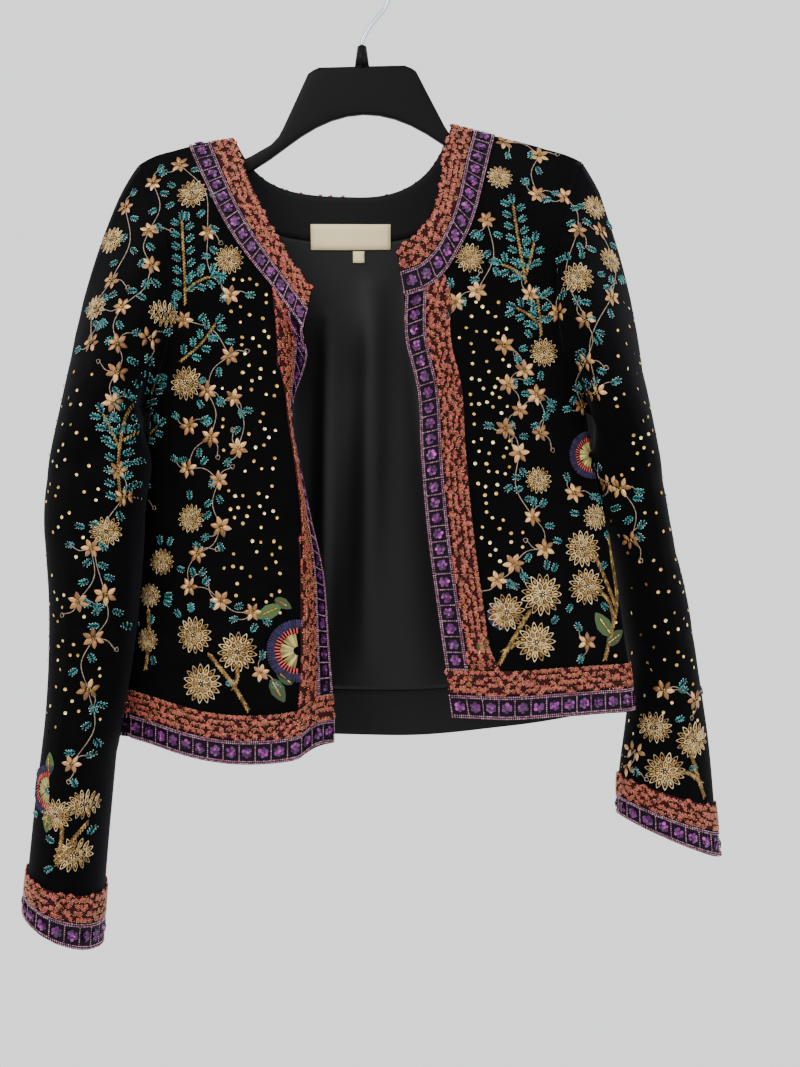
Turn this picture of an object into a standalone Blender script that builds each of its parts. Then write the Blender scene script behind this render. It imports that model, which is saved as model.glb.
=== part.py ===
"""An open, cropped evening jacket of embroidered velvet, hanging on a plain plastic hanger.

Metres, +Z up, -Y towards the viewer. The origin is inside the top of the hook, where a rail bears.
Right and left are the wearer's: the right front hangs at -X. Sizes below are millimetres.
"""

import math
from collections import namedtuple

import bmesh
import bpy
import numpy as np

MM = 0.001

# Cloth, gaps and trim
VELVET = 1.6
LINING = 1.0
TRIM = 1.2
SEAM = 0.3
ON_PANEL = 0.4
BAND = 20.0

# The body is half a superellipse at each level, from the centre line to the side seam.
ROUNDNESS = 2.6
FLATNESS = 0.25
SHOULDER_ROUND = 100.0
SHOULDER_CURVE = 0.8

# Grid of a front or half a back
ARMHOLE_ROWS = 9
SIDE_ROWS = 7
NECK_COLUMNS = 9
SHOULDER_COLUMNS = 3
BACK_NECK_COLUMNS = 12
CAP_ROWS = 5
SLEEVE_ROWS = 12

Level = namedtuple("Level", "z side side_y front back")
Rib = namedtuple("Rib", "inner_x inner_z outer_x outer_z")
Spot = namedtuple("Spot", "x z")
Edge = namedtuple("Edge", "z x turn")
Fold = namedtuple("Fold", "top_x top_z low_x low_z width depth")
Section = namedtuple("Section", "x y z half_width girth rise")
Finish = namedtuple("Finish", "color roughness metallic")

LEVELS = {
    "right": [
        Level(-120, -200, 0, -30, 30),
        Level(-180, -200, 0, -40, 36),
        Level(-250, -196, 2, -46, 40),
        Level(-310, -190, 4, -47, 42),
        Level(-375, -181, 8, -48, 44),
        Level(-450, -188, 16, -50, 46),
        Level(-550, -198, 20, -54, 48),
        Level(-680, -211, 20, -56, 50),
    ],
    "left": [
        Level(-120, 205, 0, -30, 30),
        Level(-180, 203, 0, -40, 36),
        Level(-250, 198, 0, -46, 40),
        Level(-310, 194, -2, -47, 42),
        Level(-375, 189, -4, -48, 44),
        Level(-450, 202, -10, -50, 46),
        Level(-550, 218, -18, -54, 48),
        Level(-680, 232, -22, -56, 50),
    ],
}
SHOULDERS = {
    "right": [Spot(-60, -136), Spot(-108, -145), Spot(-147, -151), Spot(-180, -164), Spot(-215, -192)],
    "left": [
        Spot(40, -128), Spot(76, -133), Spot(113, -142), Spot(143, -149), Spot(173, -161), Spot(210, -187),
    ],
}
# The neck trim's two edges, from the front opening up to the shoulder seam
NECKS = {
    "right": [
        Rib(-39, -280, -46, -312),
        Rib(-48, -268, -66, -286),
        Rib(-60, -250, -85, -263),
        Rib(-71, -231, -103, -239),
        Rib(-82, -209, -118, -213),
        Rib(-95, -180, -132, -184),
        Rib(-108, -145, -147, -154),
    ],
    "left": [
        Rib(29, -247, 36, -286),
        Rib(42, -240, 60, -277),
        Rib(52, -229, 77, -255),
        Rib(59, -215, 90, -230),
        Rib(65, -190, 99, -200),
        Rib(69, -160, 106, -171),
        Rib(76, -133, 113, -142),
    ],
}
BACK_NECK = [
    Rib(-108, -145, -147, -154),
    Rib(-98, -163, -133, -181),
    Rib(-80, -177, -105, -207),
    Rib(-50, -184, -62, -220),
    Rib(-14, -186, -14, -224),
    Rib(26, -183, 36, -221),
    Rib(52, -171, 76, -203),
    Rib(68, -152, 100, -172),
    Rib(76, -133, 113, -142),
]
# The line where each front edge starts to turn back, and how far the trim beyond it has turned, in degrees
EDGES = {
    "right": [
        Edge(-262, -84, 20),
        Edge(-290, -70, 40),
        Edge(-312, -68, 52),
        Edge(-343, -66, 66),
        Edge(-361, -62, 86),
        Edge(-381, -60, 92),
        Edge(-420, -54, 90),
        Edge(-469, -48, 84),
        Edge(-510, -47, 70),
        Edge(-570, -47, 62),
        Edge(-632, -49, 50),
        Edge(-670, -50, 48),
    ],
    "left": [
        Edge(-250, 78, 12),
        Edge(-286, 74, 18),
        Edge(-322, 74, 24),
        Edge(-355, 82, 26),
        Edge(-412, 86, 24),
        Edge(-469, 91, 22),
        Edge(-566, 104, 20),
        Edge(-640, 115, 18),
    ],
}
HEMS = {
    "right": [
        Spot(-24, -653), Spot(-57, -663), Spot(-97, -666), Spot(-138, -661), Spot(-172, -654),
        Spot(-208, -647),
    ],
    "left": [Spot(77, -630), Spot(121, -630), Spot(162, -628), Spot(195, -627), Spot(230, -626)],
    "back": [
        Spot(-208, -647), Spot(-97, -656), Spot(-25, -658), Spot(79, -656), Spot(157, -645), Spot(230, -626),
    ],
}
# Armhole seams from the shoulder tip to the underarm, which lies on the side seam
ARMHOLES = {
    ("right", "front"): [
        Spot(-190, -171), Spot(-170, -205), Spot(-157, -255), Spot(-156, -305), Spot(-166, -345),
        Spot(-181, -375),
    ],
    ("right", "back"): [
        Spot(-190, -171), Spot(-176, -208), Spot(-166, -258), Spot(-164, -310), Spot(-170, -348),
        Spot(-181, -375),
    ],
    ("left", "front"): [
        Spot(187, -170), Spot(171, -206), Spot(162, -255), Spot(162, -305), Spot(172, -345), Spot(189, -375),
    ],
    ("left", "back"): [
        Spot(187, -170), Spot(176, -208), Spot(168, -258), Spot(168, -310), Spot(176, -348), Spot(189, -375),
    ],
}
FOLDS = {
    ("right", "front"): [Fold(-112, -290, -126, -640, 22, -5), Fold(-150, -380, -172, -640, 14, 8)],
    ("left", "front"): [Fold(112, -280, 136, -610, 24, -4), Fold(176, -340, 198, -610, 14, 7)],
    ("right", "back"): [Fold(-70, -260, -40, -640, 24, 6), Fold(-120, -300, -130, -640, 22, -5)],
    ("left", "back"): [Fold(30, -260, 44, -640, 22, -5), Fold(88, -260, 112, -640, 24, 6)],
}
FOLD_FADE = 60.0

# Sleeve sections below the cap. rise is how much higher the outer edge is than the inner one.
SLEEVES = {
    "right": [
        Section(-222, -22, -416, 35, 284, 10),
        Section(-219, -34, -470, 41, 282, 2),
        Section(-221, -32, -520, 34, 272, 0),
        Section(-225, -28, -570, 30.5, 262, 0),
        Section(-230, -26, -630, 29, 252, 2),
        Section(-237, -24, -690, 30.5, 245, 4),
        Section(-243, -22, -748, 30.5, 239, 16),
        Section(-248, -21, -804, 31, 237, 34),
    ],
    "left": [
        Section(229, 9, -414, 24, 288, 6),
        Section(237, 14, -470, 25, 280, 4),
        Section(251, 19, -540, 29, 270, 2),
        Section(260.5, 21, -600, 29, 260, 0),
        Section(262.5, 18, -650, 35.5, 252, -10),
        Section(261.5, 15, -700, 41.5, 246, -26),
        Section(263.5, 14, -738, 43.5, 242, -36),
    ],
}
CAP_LEAD = 0.45
CAP_CROWN = {"right": 56.0, "left": 68.0}
UNDERARM_EASE = 24.0

# Hanger, drawn as half an outline from its middle out to the arm's tip and back
HANGER_TOP = [
    Spot(0, -83), Spot(38, -83), Spot(46, -88), Spot(55, -107), Spot(65, -127), Spot(72, -142),
    Spot(82, -152), Spot(106, -162), Spot(178, -192),
]
HANGER_BOTTOM = [
    Spot(180, -202), Spot(172, -205), Spot(106, -175), Spot(80, -161), Spot(53, -140), Spot(27, -127),
    Spot(0, -122),
]
HANGER_THICK = 7.0
HANGER_EDGE = 2.0
HANGER_TILT = math.radians(1.4)
STEM_RADIUS = 5.0
STEM_TOP = -66.0
STEM_BOTTOM = -84.0
WIRE_RADIUS = 1.9
HOOK_RADIUS = 21.0
HOOK_END = math.radians(188)
HOOK_START = math.radians(-46)
HOOK_STEPS = 26

LABEL_CENTRE = Spot(-11, -219)
LABEL_SIZE = (70.0, 22.0)
TAB_CENTRE = Spot(-4, -236.5)
TAB_SIZE = (10.0, 10.0)
LABEL_LIFT = 0.9


def curve(knots, values, at):
    """A smooth curve through a table's values, with level tangents where they turn."""
    knots, values = np.asarray(knots, float), np.asarray(values, float)
    if knots[0] > knots[-1]:
        knots, values = knots[::-1], values[::-1]
    slopes = np.gradient(values, knots)
    at = np.clip(np.asarray(at, float), knots[0], knots[-1])
    i = np.clip(np.searchsorted(knots, at) - 1, 0, len(knots) - 2)
    step = knots[i + 1] - knots[i]
    t = (at - knots[i]) / step
    rise = 3 * t**2 - 2 * t**3
    start, end = t**3 - 2 * t**2 + t, t**3 - t**2
    return values[i] * (1 - rise) + values[i + 1] * rise + step * (start * slopes[i] + end * slopes[i + 1])


def column(rows, name):
    return np.array([getattr(row, name) for row in rows], float)


def look_up(rows, key, name, at):
    return curve(column(rows, key), column(rows, name), at)


def respace(points, fractions):
    """Points at these fractions of a polyline's length, on a smooth curve through it."""
    points = np.asarray(points, float)
    along = np.concatenate([[0], np.cumsum(np.linalg.norm(np.diff(points, axis=0), axis=1))])
    along /= along[-1]
    return np.stack([curve(along, points[:, k], fractions) for k in range(points.shape[1])], axis=-1)


def quarter_arc():
    """A unit superellipse quarter: its width, depth and share of the way from the middle to the side."""
    turn = np.linspace(0, math.pi / 2, 600)
    width, depth = np.sin(turn) ** (2 / ROUNDNESS), np.cos(turn) ** (2 / ROUNDNESS)
    steps = np.hypot(np.diff(width), FLATNESS * np.diff(depth))
    along = np.concatenate([[0], np.cumsum(steps)])
    return width, depth, along / along[-1], along[-1]


ARC_WIDTH, ARC_DEPTH, ARC_SHARE, ARC_LENGTH = quarter_arc()


def side_girth(side, z):
    return ARC_LENGTH * np.abs(look_up(LEVELS[side], "z", "side", z))


def across(side, x, z):
    """How far a point seen at x lies from the centre line, measured round the body."""
    share = np.interp(np.abs(x / look_up(LEVELS[side], "z", "side", z)), ARC_WIDTH, ARC_SHARE)
    return np.sign(x) * share * side_girth(side, z)


def fold_depth(side, face, x, z):
    total = 0.0
    for fold in FOLDS[side, face]:
        down = np.clip((fold.top_z - z) / (fold.top_z - fold.low_z), 0, 1.2)
        middle = fold.top_x + (fold.low_x - fold.top_x) * down
        fade = np.clip((fold.top_z - z) / FOLD_FADE, 0, 1)
        total = total + fold.depth * fade * np.exp(-(((x - middle) / fold.width) ** 2))
    return total


def body(side, face, s, z):
    """The point of the velvet that lies s round the body from its centre line, at height z."""
    share = np.clip(np.abs(s) / side_girth(side, z), 0, 1)
    x = look_up(LEVELS[side], "z", "side", z) * np.interp(share, ARC_SHARE, ARC_WIDTH)
    side_y = look_up(LEVELS[side], "z", "side_y", z)
    full = look_up(LEVELS[side], "z", face, z)
    turned = np.interp(share, ARC_SHARE, ARC_DEPTH)
    y = side_y + (full - side_y) * turned + fold_depth(side, face, x, z) * turned
    drop = np.clip((look_up(SHOULDERS[side], "x", "z", x) - z) / SHOULDER_ROUND, 0, 1)
    y = y * np.sin(drop * math.pi / 2) ** SHOULDER_CURVE
    seam = SEAM / 2 if face == "back" else -SEAM / 2
    return np.stack([x, y + seam, z], axis=-1)


def coons(top, bottom, left, right):
    """The grid between four edges that share their corners. Rows run from top to bottom."""
    u = np.linspace(0, 1, len(top))[None, :, None]
    v = np.linspace(0, 1, len(left))[:, None, None]
    ruled_u = left[:, None] * (1 - u) + right[:, None] * u
    ruled_v = top[None] * (1 - v) + bottom[None] * v
    corners = (1 - v) * ((1 - u) * top[0] + u * top[-1]) + v * ((1 - u) * bottom[0] + u * bottom[-1])
    return ruled_u + ruled_v - corners


def flat(side, rows, x_name="x", z_name="z"):
    """A table's points as (distance round the body, height)."""
    x, z = column(rows, x_name), column(rows, z_name)
    return np.stack([across(side, x, z), z], axis=-1)


def armhole_line(side, face):
    fractions = np.linspace(0, 1, ARMHOLE_ROWS + 1)
    line = respace(flat(side, ARMHOLES[side, face]), fractions)
    line[0] = shoulder_rest(side, face)[-1]
    return line


def side_line(side, low_z):
    """The side seam from the underarm down to the hem trim."""
    sign = 1 if side == "left" else -1
    z = np.linspace(ARMHOLES[side, "front"][-1].z, low_z, SIDE_ROWS + 1)
    return np.stack([sign * side_girth(side, z), z], axis=-1)


def hem_rows(side, table, s):
    """Three rows at the hem: the trim's upper edge, its middle line and the hem itself."""
    rows = []
    for lift in (2 * BAND, BAND, 0):
        x = look_up(LEVELS[side], "z", "side", np.full_like(s, -640)) * np.interp(
            np.abs(s) / side_girth(side, np.full_like(s, -640)), ARC_SHARE, ARC_WIDTH)
        rows.append(np.stack([s, look_up(table, "x", "z", x) + lift], axis=-1))
    return rows


def shoulder_rest(side, face):
    """The shoulder seam from the neck trim out to the tip."""
    start, tip = NECKS[side][-1].outer_x, ARMHOLES[side, face][0].x
    x = np.linspace(start, tip, SHOULDER_COLUMNS + 1)
    z = look_up(SHOULDERS[side], "x", "z", x)
    return np.stack([across(side, x, z), z], axis=-1)


def front_grid(side):
    """A front's main grid and its neck strip, both as points in space."""
    sign = 1 if side == "left" else -1
    fractions = np.linspace(0, 1, NECK_COLUMNS + 1)
    inner = respace(flat(side, NECKS[side], "inner_x", "inner_z"), fractions)
    outer = respace(flat(side, NECKS[side], "outer_x", "outer_z"), fractions)
    inner[-1, 1] = look_up(SHOULDERS[side], "x", "z", NECKS[side][-1].inner_x)
    outer[-1, 1] = look_up(SHOULDERS[side], "x", "z", NECKS[side][-1].outer_x)
    strip = np.stack([inner, (inner + outer) / 2, outer])
    seam = shoulder_rest(side, "front")
    top = np.concatenate([outer, seam[1:]])

    fold_x = look_up(EDGES[side], "z", "x", HEMS[side][0].z)
    hem_s = np.linspace(
        across(side, fold_x, HEMS[side][0].z), sign * side_girth(side, HEMS[side][-1].z), len(top) - 2
    )
    hem = hem_rows(side, HEMS[side], hem_s)

    outside = np.concatenate([armhole_line(side, "front"), side_line(side, hem[0][-1, 1])[1:]])
    outside[-1] = hem[0][-1]
    rows = len(outside)
    fold_z = np.linspace(top[2, 1], hem[0][0, 1], rows)
    fold_line = np.stack([across(side, look_up(EDGES[side], "z", "x", fold_z), fold_z), fold_z], axis=-1)
    fold_line[0], fold_line[-1] = top[2], hem[0][0]
    main = np.concatenate([coons(top[2:], hem[0], fold_line, outside), hem[1][None], hem[2][None]])
    grid = body(side, "front", main[..., 0], main[..., 1])
    strip = body(side, "front", strip[..., 0], strip[..., 1])

    # Two more columns carry the trim down the opening, turned back about the fold line.
    trims = []
    for k in (0, 1):
        edge_x = HEMS[side][0].x - sign * k * BAND * 0.7
        low = look_up(HEMS[side], "x", "z", edge_x)
        z = np.concatenate([np.linspace(top[k, 1], low + 2 * BAND, rows), [low + BAND, low]])
        turn = np.radians(look_up(EDGES[side], "z", "turn", z))
        reach = (2 - k) * BAND
        at_fold = body(side, "front", across(side, look_up(EDGES[side], "z", "x", z), z), z)
        edge = at_fold + reach * np.stack([-sign * np.cos(turn), np.sin(turn), 0 * turn], axis=-1)
        edge[0] = strip[-1, k]
        trims.append(edge[:, None])
    return np.concatenate(trims + [grid], axis=1), strip


def back_point(s, z):
    """The back runs over both halves of the body: its right half has negative s."""
    right, left = body("right", "back", s, z), body("left", "back", s, z)
    return np.where((s < 0)[..., None], right, left)


def back_flat(rows, x_name, z_name):
    points = [flat("right" if getattr(row, x_name) < 0 else "left", [row], x_name, z_name)[0] for row in rows]
    return np.array(points)


def back_grid():
    fractions = np.linspace(0, 1, BACK_NECK_COLUMNS + 1)
    inner = respace(back_flat(BACK_NECK, "inner_x", "inner_z"), fractions)
    outer = respace(back_flat(BACK_NECK, "outer_x", "outer_z"), fractions)
    for k, side in ((0, "right"), (-1, "left")):
        inner[k, 1] = look_up(SHOULDERS[side], "x", "z", NECKS[side][-1].inner_x)
        outer[k, 1] = look_up(SHOULDERS[side], "x", "z", NECKS[side][-1].outer_x)
    strip = np.stack([inner, (inner + outer) / 2, outer])
    top = np.concatenate([shoulder_rest("right", "back")[:0:-1], outer, shoulder_rest("left", "back")[1:]])
    ends = {side: side_girth(side, HEMS[side][-1].z) for side in ("right", "left")}
    hem_s = np.linspace(-ends["right"], ends["left"], len(top))
    halves = [hem_rows(side, HEMS["back"], hem_s) for side in ("right", "left")]
    hem = [np.where((hem_s < 0)[:, None], r, l) for r, l in zip(*halves)]
    for k, side in ((0, "right"), (-1, "left")):
        for row, lift in zip(hem, (2 * BAND, BAND, 0)):
            row[k, 1] = HEMS[side][-1].z + lift
    sides = []
    for k, side in ((0, "right"), (-1, "left")):
        line = np.concatenate([armhole_line(side, "back"), side_line(side, hem[0][k, 1])[1:]])
        line[-1] = hem[0][k]
        sides.append(line)
    grid = np.concatenate([coons(top, hem[0], *sides), hem[1][None], hem[2][None]])
    return back_point(grid[..., 0], grid[..., 1]), back_point(strip[..., 0], strip[..., 1])


def grid_faces(points, around=False, outward=True):
    """Triangles over a grid of points, each cell cut along its shorter diagonal. around closes the rows."""
    rows, columns = points.shape[:2]
    flat_points = points.reshape(-1, 3)
    faces = []
    for i in range(rows - 1):
        for j in range(columns if around else columns - 1):
            a, b = i * columns + j, i * columns + (j + 1) % columns
            c, d = a + columns, b + columns
            falling = np.linalg.norm(flat_points[a] - flat_points[d])
            rising = np.linalg.norm(flat_points[b] - flat_points[c])
            faces += [(a, c, d), (a, d, b)] if falling < rising else [(a, c, b), (c, d, b)]
    return faces if outward else [face[::-1] for face in faces]


def point_normals(points, faces):
    faces = np.array(faces)
    corners = points[faces]
    cross = np.cross(corners[:, 1] - corners[:, 0], corners[:, 2] - corners[:, 0])
    total = np.zeros_like(points)
    for k in range(3):
        np.add.at(total, faces[:, k], cross)
    return total / np.linalg.norm(total, axis=1, keepdims=True)


def material(name, finish):
    made = bpy.data.materials.new(name)
    made.use_nodes = True
    shader = made.node_tree.nodes["Principled BSDF"]
    shader.inputs["Base Color"].default_value = (*finish.color, 1)
    shader.inputs["Roughness"].default_value = finish.roughness
    shader.inputs["Metallic"].default_value = finish.metallic
    return made


def link(name, mesh, finish):
    made = bpy.data.objects.new(name, mesh)
    mesh.materials.append(FINISHES[finish])
    bpy.context.scene.collection.objects.link(made)
    return made


def wall(name, points, faces, normals, low, high, finish):
    """A closed sheet between two distances from its points, measured along their normals."""
    count = len(points)
    both = np.concatenate([points + high * normals, points + low * normals]) * MM
    bm = bmesh.new()
    verts = [bm.verts.new(p) for p in both]
    for face in faces:
        bm.faces.new([verts[k] for k in face])
        bm.faces.new([verts[k + count] for k in face[::-1]])
    edges = {}
    for face in faces:
        for a, b in zip(face, face[1:] + face[:1]):
            edges[a, b] = True
    for a, b in edges:
        if (b, a) not in edges:
            bm.faces.new([verts[b], verts[a], verts[a + count]])
            bm.faces.new([verts[b], verts[a + count], verts[b + count]])
    loose = [v for v in bm.verts if not v.link_faces]
    bmesh.ops.delete(bm, geom=loose, context="VERTS")
    mesh = bpy.data.meshes.new(name)
    bm.to_mesh(mesh)
    bm.free()
    mesh.shade_smooth()
    mesh.set_sharp_from_angle(angle=math.radians(50))
    return link(name, mesh, finish)


class Panel:
    """A cut piece of velvet: its main grid welded to its neck strip, with one normal for each point."""

    def __init__(self, grid, strip, strip_start, outward):
        """The strip's last row is the main grid's top row from column strip_start on."""
        self.main = np.arange(grid.shape[0] * grid.shape[1]).reshape(grid.shape[:2])
        extra = strip[:-1].reshape(-1, 3)
        new = np.arange(len(extra)).reshape(strip.shape[0] - 1, strip.shape[1]) + self.main.size
        joined = self.main[0, strip_start:strip_start + strip.shape[1]]
        self.strip = np.concatenate([new, joined[None]])
        self.points = np.concatenate([grid.reshape(-1, 3), extra])
        self.outward = outward
        self.faces = self.cover(self.main) + self.cover(self.strip)
        self.normals = point_normals(self.points, self.faces)

    def cover(self, index):
        """Triangles over part of the panel's own points."""
        flat_index = index.reshape(-1)
        cells = grid_faces(self.points[index], outward=self.outward)
        return [tuple(int(flat_index[k]) for k in face) for face in cells]

    def level_seam(self, index):
        """Takes the tilt out of the normals along a seam, so that two walls meet edge to edge."""
        self.normals[index, 1] = 0
        self.normals[index] /= np.linalg.norm(self.normals[index], axis=1, keepdims=True)

    def solid(self, name):
        return wall(name, self.points, self.faces, self.normals, -VELVET, 0, "velvet")


def seams(panel, shoulder_columns, side_column, strip_column):
    """The points of a panel that lie on one shoulder seam and the side seam below it."""
    shoulder = [panel.main[0, shoulder_columns], panel.strip[:, strip_column]]
    return np.concatenate(shoulder + [panel.main[ARMHOLE_ROWS:, side_column]])


def inset(points, around=False):
    """Draws the rim of a grid in by the seam gap, along the grid's own lines."""
    points = points.copy()
    lines = [points] if around else [points, points.swapaxes(0, 1)]
    for grid in lines:
        for end, beside in ((0, 1), (-1, -2)):
            step = grid[beside] - grid[end]
            grid[end] += SEAM * step / np.linalg.norm(step, axis=-1, keepdims=True)
    return points


def laid(name, points, normals, outward, low, high, finish, around=False):
    """A piece that follows a grid of a panel's points, at two distances from them."""
    faces = grid_faces(points, around, outward)
    wall(name, inset(points, around).reshape(-1, 3), faces, normals.reshape(-1, 3), low, high, finish)


def trim(name, stretches, finish):
    """A trim laid over several panels in turn: each stretch is a panel and a grid of its points."""
    points = np.concatenate([panel.points[index] for panel, index in stretches], axis=1)
    normals = np.concatenate([panel.normals[index] for panel, index in stretches], axis=1)
    laid(name, points, normals, stretches[0][0].outward, ON_PANEL, ON_PANEL + TRIM, finish)


def section_ring(section, sign, turns):
    """An oval of the section's own girth: its depth follows from its width."""
    half_depth = math.sqrt(section.girth**2 / (2 * math.pi**2) - section.half_width**2)
    x = section.x + sign * section.half_width * np.cos(turns)
    y = section.y - half_depth * np.sin(turns)
    z = section.z + section.rise / 2 * np.cos(turns)
    return np.stack([x, y, z], axis=-1)


def sleeve(side, front, back):
    """A sleeve from its cap to its cuff, set into the armhole of a front and the back."""
    sign = 1 if side == "left" else -1
    back_column = -1 if side == "left" else 0
    front_index = front.main[:ARMHOLE_ROWS + 1, -1]
    back_index = back.main[:ARMHOLE_ROWS + 1, back_column]
    seam = np.concatenate([front.points[front_index], back.points[back_index][-2:0:-1]])
    lean = np.concatenate([front.normals[front_index], back.normals[back_index][-2:0:-1]])
    for ring, panel_index in ((seam, back_index), (lean, back_index)):
        source = back.points if ring is seam else back.normals
        ring[0] = (ring[0] + source[panel_index[0]]) / 2
        ring[ARMHOLE_ROWS] = (ring[ARMHOLE_ROWS] + source[panel_index[-1]]) / 2
    lean /= np.linalg.norm(lean, axis=1, keepdims=True)
    count = len(seam)
    turns = np.linspace(0, 2 * math.pi, count, endpoint=False)

    rows = SLEEVES[side]
    centres = np.array([(row.x, row.y, row.z) for row in rows], float)
    length = np.linalg.norm(np.diff(centres, axis=0), axis=1)
    along = np.concatenate([[0], np.cumsum(length)])
    stops = np.concatenate([np.linspace(0, along[-1] - 2 * BAND, SLEEVE_ROWS), [along[-1] - BAND, along[-1]]])
    table = {name: curve(along, column(rows, name), stops) for name in Section._fields}
    stations = [Section(*(table[name][k] for name in Section._fields)) for k in range(len(stops))]
    rings = [section_ring(station, sign, turns) for station in stations]

    middle = seam.mean(axis=0)
    radial = seam - middle
    radial /= np.linalg.norm(radial, axis=1, keepdims=True)
    crown = ((1 + np.cos(turns)) / 2)[:, None]
    control = seam + crown * (CAP_LEAD * (rings[0] - seam) + CAP_CROWN[side] * radial)
    control[:, 0] += sign * UNDERARM_EASE * (1 - crown[:, 0])
    first = control - seam
    start = seam + SEAM * first / np.linalg.norm(first, axis=1, keepdims=True)
    cap = []
    for t in np.linspace(0, 1, CAP_ROWS + 1)[:-1]:
        cap.append((1 - t) ** 2 * start + 2 * t * (1 - t) * control + t**2 * rings[0])
    grid = np.stack(cap + rings)
    faces = grid_faces(grid, True, sign < 0)
    points = grid.reshape(-1, 3)
    normals = point_normals(points, faces)
    normals[:count] = crown * lean + (1 - crown) * normals[:count]
    normals[:count] /= np.linalg.norm(normals[:count], axis=1, keepdims=True)
    wall(f"sleeve_{side}", points, faces, normals, -VELVET, 0, "velvet")
    normals = normals.reshape(grid.shape)
    for name, rows in (("rust", slice(-3, -1)), ("violet", slice(-2, None))):
        laid(f"cuff_band_{name}_{side}", grid[rows], normals[rows], sign < 0,
             ON_PANEL, ON_PANEL + TRIM, name, True)


def inside(name, panel, index, finish):
    """A lining or facing that lies on the inner face of a panel."""
    high = -VELVET - ON_PANEL
    laid(name, panel.points[index], panel.normals[index], panel.outward, high - LINING, high, finish)


def back_patch(name, centre, size, steps, finish):
    """A small flat piece sewn to the inside of the back, over the lining."""
    x = np.linspace(centre.x - size[0] / 2, centre.x + size[0] / 2, steps[0] + 1)
    z = np.linspace(centre.z + size[1] / 2, centre.z - size[1] / 2, steps[1] + 1)
    x, z = np.meshgrid(x, z)
    s = np.where(x < 0, across("right", -np.abs(x), z), across("left", np.abs(x), z))
    grid = back_point(s, z)
    faces = grid_faces(grid, outward=False)
    points = grid.reshape(-1, 3)
    normals = point_normals(points, faces)
    high = -VELVET - ON_PANEL - LINING - LABEL_LIFT
    return wall(name, points, faces, normals, high - LINING, high, finish)


def hanger():
    """One flat moulding with rounded edges, and the boss that takes the hook."""
    half = HANGER_TOP + HANGER_BOTTOM
    outline = [(p.x, p.z) for p in half] + [(-p.x, p.z) for p in half[-2:0:-1]]
    bm = bmesh.new()
    cos, sin = math.cos(HANGER_TILT), math.sin(HANGER_TILT)
    turn = np.array([[cos, -sin], [sin, cos]])
    pivot = np.array([0, STEM_BOTTOM])
    turned = [(np.array(p) - pivot) @ turn.T + pivot for p in outline]
    face = bm.faces.new([bm.verts.new((x * MM, -HANGER_THICK / 2 * MM, z * MM)) for x, z in turned])
    grown = bmesh.ops.extrude_face_region(bm, geom=[face])["geom"]
    moved = [g for g in grown if isinstance(g, bmesh.types.BMVert)]
    bmesh.ops.translate(bm, verts=moved, vec=(0, HANGER_THICK * MM, 0))
    bmesh.ops.recalc_face_normals(bm, faces=bm.faces)
    rims = [e for e in bm.edges if abs(e.verts[0].co.y - e.verts[1].co.y) < 1e-6]
    bmesh.ops.bevel(bm, geom=rims, offset=HANGER_EDGE * MM, segments=2, profile=0.5, affect="EDGES")
    bmesh.ops.triangulate(bm, faces=bm.faces)
    mesh = bpy.data.meshes.new("hanger")
    bm.to_mesh(mesh)
    bm.free()
    mesh.shade_smooth()
    mesh.set_sharp_from_angle(angle=math.radians(35))
    link("hanger", mesh, "plastic")

    bm = bmesh.new()
    high, low = STEM_TOP * MM, (STEM_BOTTOM + 1.2 + SEAM) * MM
    bmesh.ops.create_cone(bm, cap_ends=True, segments=16, depth=high - low,
                          radius1=STEM_RADIUS * 1.25 * MM, radius2=STEM_RADIUS * 0.8 * MM)
    bmesh.ops.translate(bm, verts=bm.verts, vec=(0, 0, (high + low) / 2))
    mesh = bpy.data.meshes.new("hanger_boss")
    bm.to_mesh(mesh)
    bm.free()
    mesh.shade_smooth()
    mesh.set_sharp_from_angle(angle=math.radians(35))
    link("hanger_boss", mesh, "plastic")


def hook():
    """A bent wire that leaves the boss, swings out and closes over the rail."""
    reach = HOOK_RADIUS + WIRE_RADIUS
    centre_z = -HOOK_RADIUS
    turns = np.linspace(HOOK_START, HOOK_END, HOOK_STEPS)
    arc = np.stack([reach * np.cos(turns), centre_z + reach * np.sin(turns)], axis=-1)
    root = np.array([[0, STEM_TOP + 2 * SEAM], [0, STEM_TOP + 4], [2, STEM_TOP + 9]])
    path = respace(np.concatenate([root, arc]), np.linspace(0, 1, HOOK_STEPS + 8))
    path[0] = root[0]
    data = bpy.data.curves.new("hook", "CURVE")
    data.dimensions = "3D"
    data.bevel_depth = WIRE_RADIUS * MM
    data.bevel_resolution = 2
    data.use_fill_caps = True
    spline = data.splines.new("POLY")
    spline.points.add(len(path) - 1)
    for point, (x, z) in zip(spline.points, path):
        point.co = (x * MM, 0, z * MM, 1)
    link("hook", data, "steel")


for old in list(bpy.data.objects):
    bpy.data.objects.remove(old)

FINISHES = {
    name: material(name, finish)
    for name, finish in {
        "velvet": Finish((0.006, 0.006, 0.008), 0.9, 0),
        "rust": Finish((0.42, 0.09, 0.05), 0.5, 0),
        "violet": Finish((0.16, 0.05, 0.17), 0.4, 0),
        "satin": Finish((0.012, 0.013, 0.014), 0.45, 0),
        "cotton": Finish((0.78, 0.72, 0.6), 0.8, 0),
        "plastic": Finish((0.012, 0.013, 0.014), 0.4, 0),
        "steel": Finish((0.6, 0.6, 0.62), 0.25, 1),
    }.items()
}

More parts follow.
